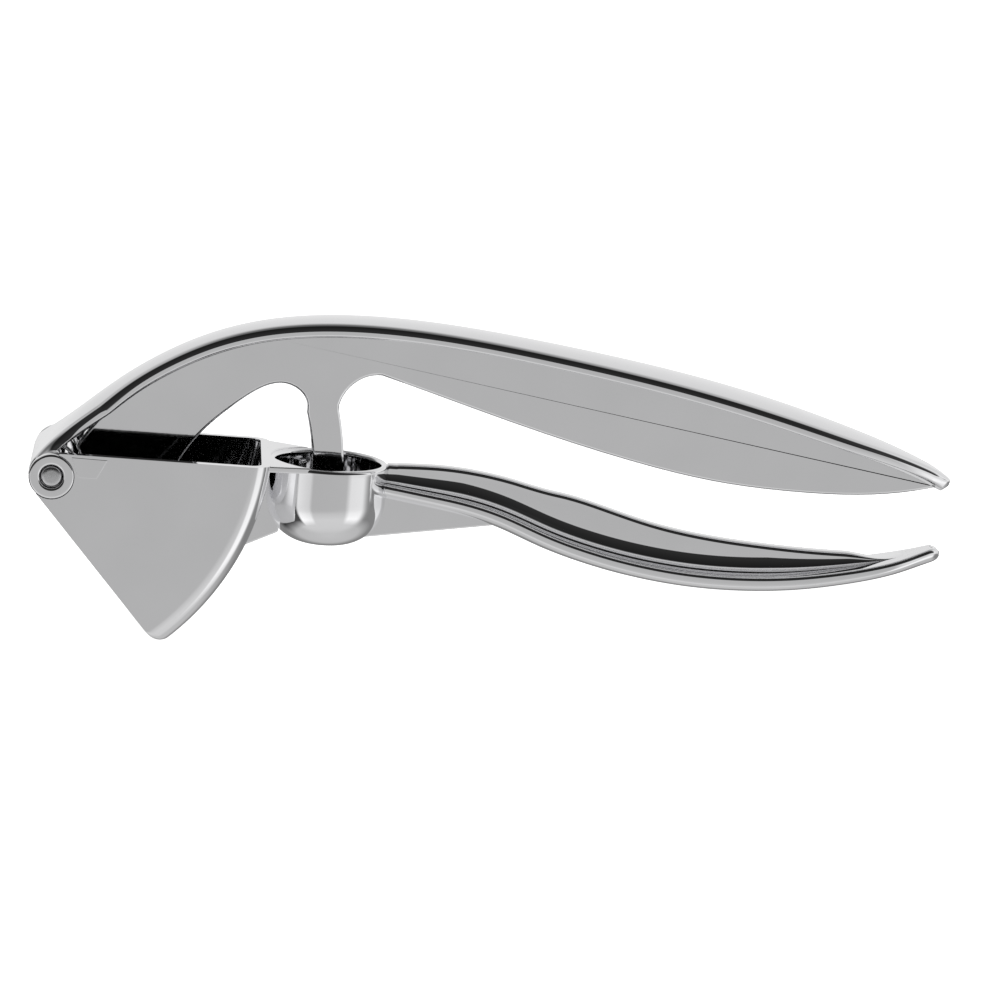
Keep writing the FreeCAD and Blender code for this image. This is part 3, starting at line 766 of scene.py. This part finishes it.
for name, outline in (("cup", cup_rib), ("hopper", hopper_rib)):
    plate(name + "_stiffening_rib", outline, -RIB_HALF, RIB_HALF, 0.4, "lower_casting",
          chrome, (name + "_rib",))

# %% [markdown]
# The lower handle is a T upside down: a boat-shaped flange for the fingers, and a web on top that runs
# out before the tip. A wide hollow fillet joins them, and its curve is what draws the bundle of dark and
# bright lines along the real handle.

# %% Lower handle
BELLY_RISE = 2.3          # height of the widest line over the belly
LOWER_EDGE = 3.1          # thickness of the flange
BELLY = 32.0              # radius of the belly across the handle
HOLLOW = 3.5              # radius of the fillet between flange and web
WEB_ROUND = 0.95


def lower_section(half, web_top):
    """Half sections from the belly's middle, out round the edge, over the hollow and up to the web's top."""
    deck = half ** 2 / (2 * BELLY) + LOWER_EDGE
    rise = BELLY_RISE + 0 * half
    rt = np.minimum(0.75, 0.3 * half)
    web = np.minimum(WEB_HALF, 0.4 * half)
    room = np.clip(web_top - deck, 0, None)
    rf = np.minimum(np.minimum(HOLLOW, 0.62 * room), np.clip(half - rt - web - 0.2, 0.02, None))
    rw = np.minimum(WEB_ROUND, 0.36 * room)
    columns = []

    def add(y, v):
        columns.append(np.stack([y, v], -1))

    for share in np.linspace(0, 1, 22):
        angle = share * math.pi / 2
        add(half * np.sin(angle), rise * (1 - np.cos(angle)) ** 0.9)
    for share in np.linspace(0, 1, 9):
        angle = share * math.pi / 2
        add(half - rt + rt * np.cos(angle), deck - rt + rt * np.sin(angle))
    for share in np.linspace(0, 1, 15):
        angle = -math.pi / 2 - share * math.pi / 2
        add(web + rf + rf * np.cos(angle), deck + rf + rf * np.sin(angle))
    crown = deck + room
    for share in np.linspace(0, 1, 8):
        angle = share * math.pi / 2
        add(web - rw + rw * np.cos(angle), crown - rw + rw * np.sin(angle))
    add(0 * web, crown)
    return np.stack(columns, 1)


reading_x = np.array([71, 78, 86, 94, 102, 112, 124, 136, 148, 158, 167, 174, 180, 184.5])
belly, lower_half = strip_readings("lower_handle_flange", reading_x, -1, 2.6)
web_tree = tree_of("lower_handle_web")
web_x = np.array([71, 78, 86, 94, 102, 112, 124, 136, 148, 158, 167, 174, 178])
web_z = np.array([web_tree.ray_cast(Vector((x, 0.02, 60.0)), Vector((0, 0, -1)))[0].z for x in web_x])
web_z = web_z + 0.5 * np.clip((100 - web_x) / 20, 0, 1)
lower_end = to_drawing(node_points("lower_handle_flange"))
lower_tip = lower_end[lower_end[:, 0].argmax()]
start_x = CUP_X + 0.5 * (2 * CUP_OUT - CUP_WALL) - 0.3
step = (reading_x[0] - start_x) / (reading_x[1] - reading_x[0])
start_z = belly[0] - (belly[1] - belly[0]) * step
tip_slope = (belly[-1] - belly[-2]) / (reading_x[-1] - reading_x[-2])
end_x = float(lower_tip[0]) + 0.5
places = np.vstack([[[start_x, start_z]], np.stack([reading_x, belly], 1),
                    [[end_x, belly[-1] + 1.05 * tip_slope * (end_x - reading_x[-1])]]])
s, centre, normal = path_stations(places, 260)
half = smooth_through(reading_x, lower_half, centre[:, 0])
from_cup = np.interp(centre[:, 0], [start_x, reading_x[0]], [4.7, lower_half[0]])
toward_tip = np.interp(centre[:, 0], [reading_x[-1], end_x], [lower_half[-1], 2.2])
half = np.where(centre[:, 0] < reading_x[0], from_cup, half)
half = np.where(centre[:, 0] > reading_x[-1], toward_tip, half)
height_at = smooth_through(web_x, web_z, centre[:, 0])
height_at = np.where(centre[:, 0] < web_x[0], web_z[0] - 0.1, height_at)
web_top = (height_at - centre[:, 1]) * normal[:, 1]
fade = np.clip((181.5 - centre[:, 0]) / 12.0, 0, 1)
deck = half ** 2 / (2 * BELLY) + LOWER_EDGE
web_top = deck + np.clip(web_top - deck, 0, None) * (fade * fade * (3 - 2 * fade))
sections = both_sides(lower_section(half, web_top))
sections = sections[:, ::-1]
swept("lower_handle", centre, normal, sections, deck / 2, end_shrink(s, 2.2), "lower_casting",
      chrome, ("lower_handle_flange", "lower_handle_web"))

# %% [markdown]
# Inside the hopper sit the pusher, a flat plate that comes down almost on the sieve, and the sieve
# itself. The sieve's CAD solid already has every hole, so it only gets its finish.

# %% Pusher and sieve
def plate_on_slope(name, node, finish):
    """A copy of a CAD solid, merged and with its flat faces whole again, so that its edges can be rounded."""
    work = bmesh.new()
    work.from_mesh(frame["nodes"][node].data)
    bmesh.ops.remove_doubles(work, verts=work.verts, dist=0.002 * MM)
    bmesh.ops.dissolve_limit(work, angle_limit=math.radians(0.5), verts=work.verts, edges=work.edges)
    mesh = bpy.data.meshes.new(name)
    work.to_mesh(mesh)
    work.free()
    mesh.materials.clear()
    mesh.materials.append(finish)
    mesh.polygons.foreach_set("use_smooth", [True] * len(mesh.polygons))
    piece = bpy.data.objects.new(name, mesh)
    bpy.context.scene.collection.objects.link(piece)
    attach(piece, "upper_handle")
    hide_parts(node)
    return soften(piece, 0.3, 3)


plate_on_slope("pusher", "pusher_plate", chrome_inside)
sieve = frame["nodes"]["sieve_plate"]
sieve.data.materials.clear()
sieve.data.materials.append(sieve_steel)

# %% [markdown]
# Chrome has no colour of its own, so the room is half the picture. A bright table and back wall give the
# pale faces, a dark room behind the camera gives the black lines, and the floor fades to grey in
# between.

# %% The room
STUDIO_FRONT = [(-90, 0.62), (-60, 0.7), (-40, 0.72), (-24, 0.62), (-16, 0.52), (-7, 0.5), (-2, 0.55),
                (1.5, 0.03), (70, 0.012), (84, 0.02), (90, 0.12)]
STUDIO_BACK = [(-90, 0.62), (-55, 0.55), (-38, 0.25), (-17, 0.25), (-9, 0.78), (0, 0.86), (14, 0.82),
               (40, 0.72), (60, 0.5), (76, 0.2), (90, 0.12)]
STUDIO_SCREENS = [(-180, 0.5), (-140, 0.45), (-122, 0.08), (-62, 0.05), (-57, 0.85), (-34, 0.72), (-28, 0.5),
                  (36, 0.5), (46, 0.8), (74, 0.8), (96, 0.5), (180, 0.5)]


def sky():
    """A world whose brightness follows a direction: two ramps by height, and a third by bearing.

    The bearing is atan2(x, -y): 0 behind the camera, positive to the right. A dark screen stands to the left.
    """
    world = bpy.data.worlds.new("studio")
    bpy.context.scene.world = world
    world.use_nodes = True
    nodes, links = world.node_tree.nodes, world.node_tree.links
    nodes.clear()
    out = nodes.new("ShaderNodeOutputWorld")
    light = nodes.new("ShaderNodeBackground")
    links.new(light.outputs["Background"], out.inputs["Surface"])
    place = nodes.new("ShaderNodeTexCoord")
    split = nodes.new("ShaderNodeSeparateXYZ")
    links.new(place.outputs["Generated"], split.inputs["Vector"])

    def calc(kind, a, b):
        node = nodes.new("ShaderNodeMath")
        node.operation = kind
        for socket, value in zip(node.inputs, (a, b)):
            if isinstance(value, (int, float)):
                socket.default_value = value
            else:
                links.new(value, socket)
        return node.outputs["Value"]

    def ramp(stops, source, low, high):
        node = nodes.new("ShaderNodeValToRGB")
        parts = node.color_ramp.elements
        while len(parts) < len(stops):
            parts.new(0.5)
        for part, (angle, value) in zip(parts, stops):
            part.position = (angle - low) / (high - low)
            part.color = (value, value, value, 1)
        links.new(source, node.inputs["Fac"])
        return node.outputs["Color"]

    angle = calc("ARCSINE", split.outputs["Z"], 0)
    height = calc("ADD", calc("DIVIDE", angle, math.pi), 0.5)
    front = ramp(STUDIO_FRONT, height, -90, 90)
    back = ramp(STUDIO_BACK, height, -90, 90)
    turn = nodes.new("ShaderNodeMapRange")
    turn.interpolation_type = "SMOOTHSTEP"
    turn.inputs["From Min"].default_value = -0.32
    turn.inputs["From Max"].default_value = 0.02
    links.new(split.outputs["Y"], turn.inputs["Value"])
    mix = nodes.new("ShaderNodeMix")
    mix.data_type = "RGBA"
    links.new(turn.outputs["Result"], mix.inputs[0])
    links.new(front, mix.inputs[6])
    links.new(back, mix.inputs[7])
    links.new(mix.outputs[2], light.inputs["Color"])
    bearing = nodes.new("ShaderNodeMath")
    bearing.operation = "ARCTAN2"
    links.new(split.outputs["X"], bearing.inputs[0])
    links.new(calc("MULTIPLY", split.outputs["Y"], -1), bearing.inputs[1])
    round_about = calc("ADD", calc("DIVIDE", bearing.outputs["Value"], 2 * math.pi), 0.5)
    screens = ramp(STUDIO_SCREENS, round_about, -180, 180)
    level = nodes.new("ShaderNodeMapRange")
    level.inputs["From Min"].default_value = 0.62
    level.inputs["From Max"].default_value = 0.8
    level.inputs["To Min"].default_value = 1.0
    level.inputs["To Max"].default_value = 0.0
    links.new(calc("ABSOLUTE", split.outputs["Z"], 0), level.inputs["Value"])
    tint = calc("MULTIPLY", calc("SUBTRACT", calc("MULTIPLY", screens, 2.0), 1.0), level.outputs["Result"])
    links.new(calc("ADD", tint, 1.0), light.inputs["Strength"])


sky()
print("studio:", len(STUDIO_FRONT) + len(STUDIO_BACK) + len(STUDIO_SCREENS), "levels")

# %% [markdown]
# The table is one plain sheet that glows nearly white by itself, so it stays pale to the horizon. The
# mirrors see the studio's own lower half in place of it, which keeps the two from adding up.

# %% The table
def table():
    """A pale floor under the press, lit evenly, that mirrors do not pick up twice."""
    size = 2.5
    drop = -0.0002
    mesh = bpy.data.meshes.new("table")
    corners = [(-size, -size, drop), (size, -size, drop), (size, size, drop), (-size, size, drop)]
    mesh.from_pydata(corners, [], [(0, 1, 2, 3)])
    mat = bpy.data.materials.new("pale table")
    mat.use_nodes = True
    nodes, links = mat.node_tree.nodes, mat.node_tree.links
    shader = nodes["Principled BSDF"]
    shader.inputs["Base Color"].default_value = (0.9, 0.9, 0.9, 1)
    shader.inputs["Roughness"].default_value = 0.9
    shader.inputs["Emission Color"].default_value = (1, 1, 1, 1)
    shader.inputs["Emission Strength"].default_value = 0.93
    mesh.materials.append(mat)
    floor = bpy.data.objects.new("table", mesh)
    bpy.context.scene.collection.objects.link(floor)
    floor.visible_glossy = False


table()
print("table laid")

# %% [markdown]
# The camera stands a little left of square, turned slightly to the right, and looks down at about twelve
# degrees through a long lens.

# %% Camera
AZIMUTH, ELEVATION, ROLL = (math.radians(v) for v in (2.92, 11.95, -2.67))
DISTANCE = 0.9
LENS = 156.3
target = Vector((-0.00066, 0, 0.02474))
look = Vector((math.sin(AZIMUTH) * math.cos(ELEVATION), math.cos(AZIMUTH) * math.cos(ELEVATION),
               -math.sin(ELEVATION)))
right = look.cross(Vector((0, 0, 1))).normalized()
above = right.cross(look)
right_rolled = right * math.cos(ROLL) + above * math.sin(ROLL)
above_rolled = above * math.cos(ROLL) - right * math.sin(ROLL)
camera_data = bpy.data.cameras.new("camera")
camera_data.lens = LENS
camera_data.sensor_width = 36
camera_data.clip_end = 20
camera = bpy.data.objects.new("camera", camera_data)
bpy.context.scene.collection.objects.link(camera)
turned = Matrix((right_rolled, above_rolled, -look)).transposed().to_4x4()
camera.matrix_world = Matrix.Translation(target - look * DISTANCE) @ turned
bpy.context.scene.camera = camera
bpy.context.scene.view_settings.view_transform = "Standard"
print("camera at", [round(v, 3) for v in camera.matrix_world.translation])

# %% [markdown]
# One large soft lamp high on the left adds a little light to the table. It stays out of the mirrors,
# where its square would show.

# %% Soft key light
key_data = bpy.data.lights.new("key", "AREA")
key_data.energy = 6
key_data.size = 0.8
key = bpy.data.objects.new("key", key_data)
key.location = (-0.5, -0.3, 1.2)
key.rotation_euler = (math.radians(15), math.radians(-20), 0)
key.visible_glossy = False
bpy.context.scene.collection.objects.link(key)
print("key light:", key_data.energy, "W")

# %% [markdown]
# The rebuilt surfaces are meant to fill the same box as the CAD.


print("pieces built")
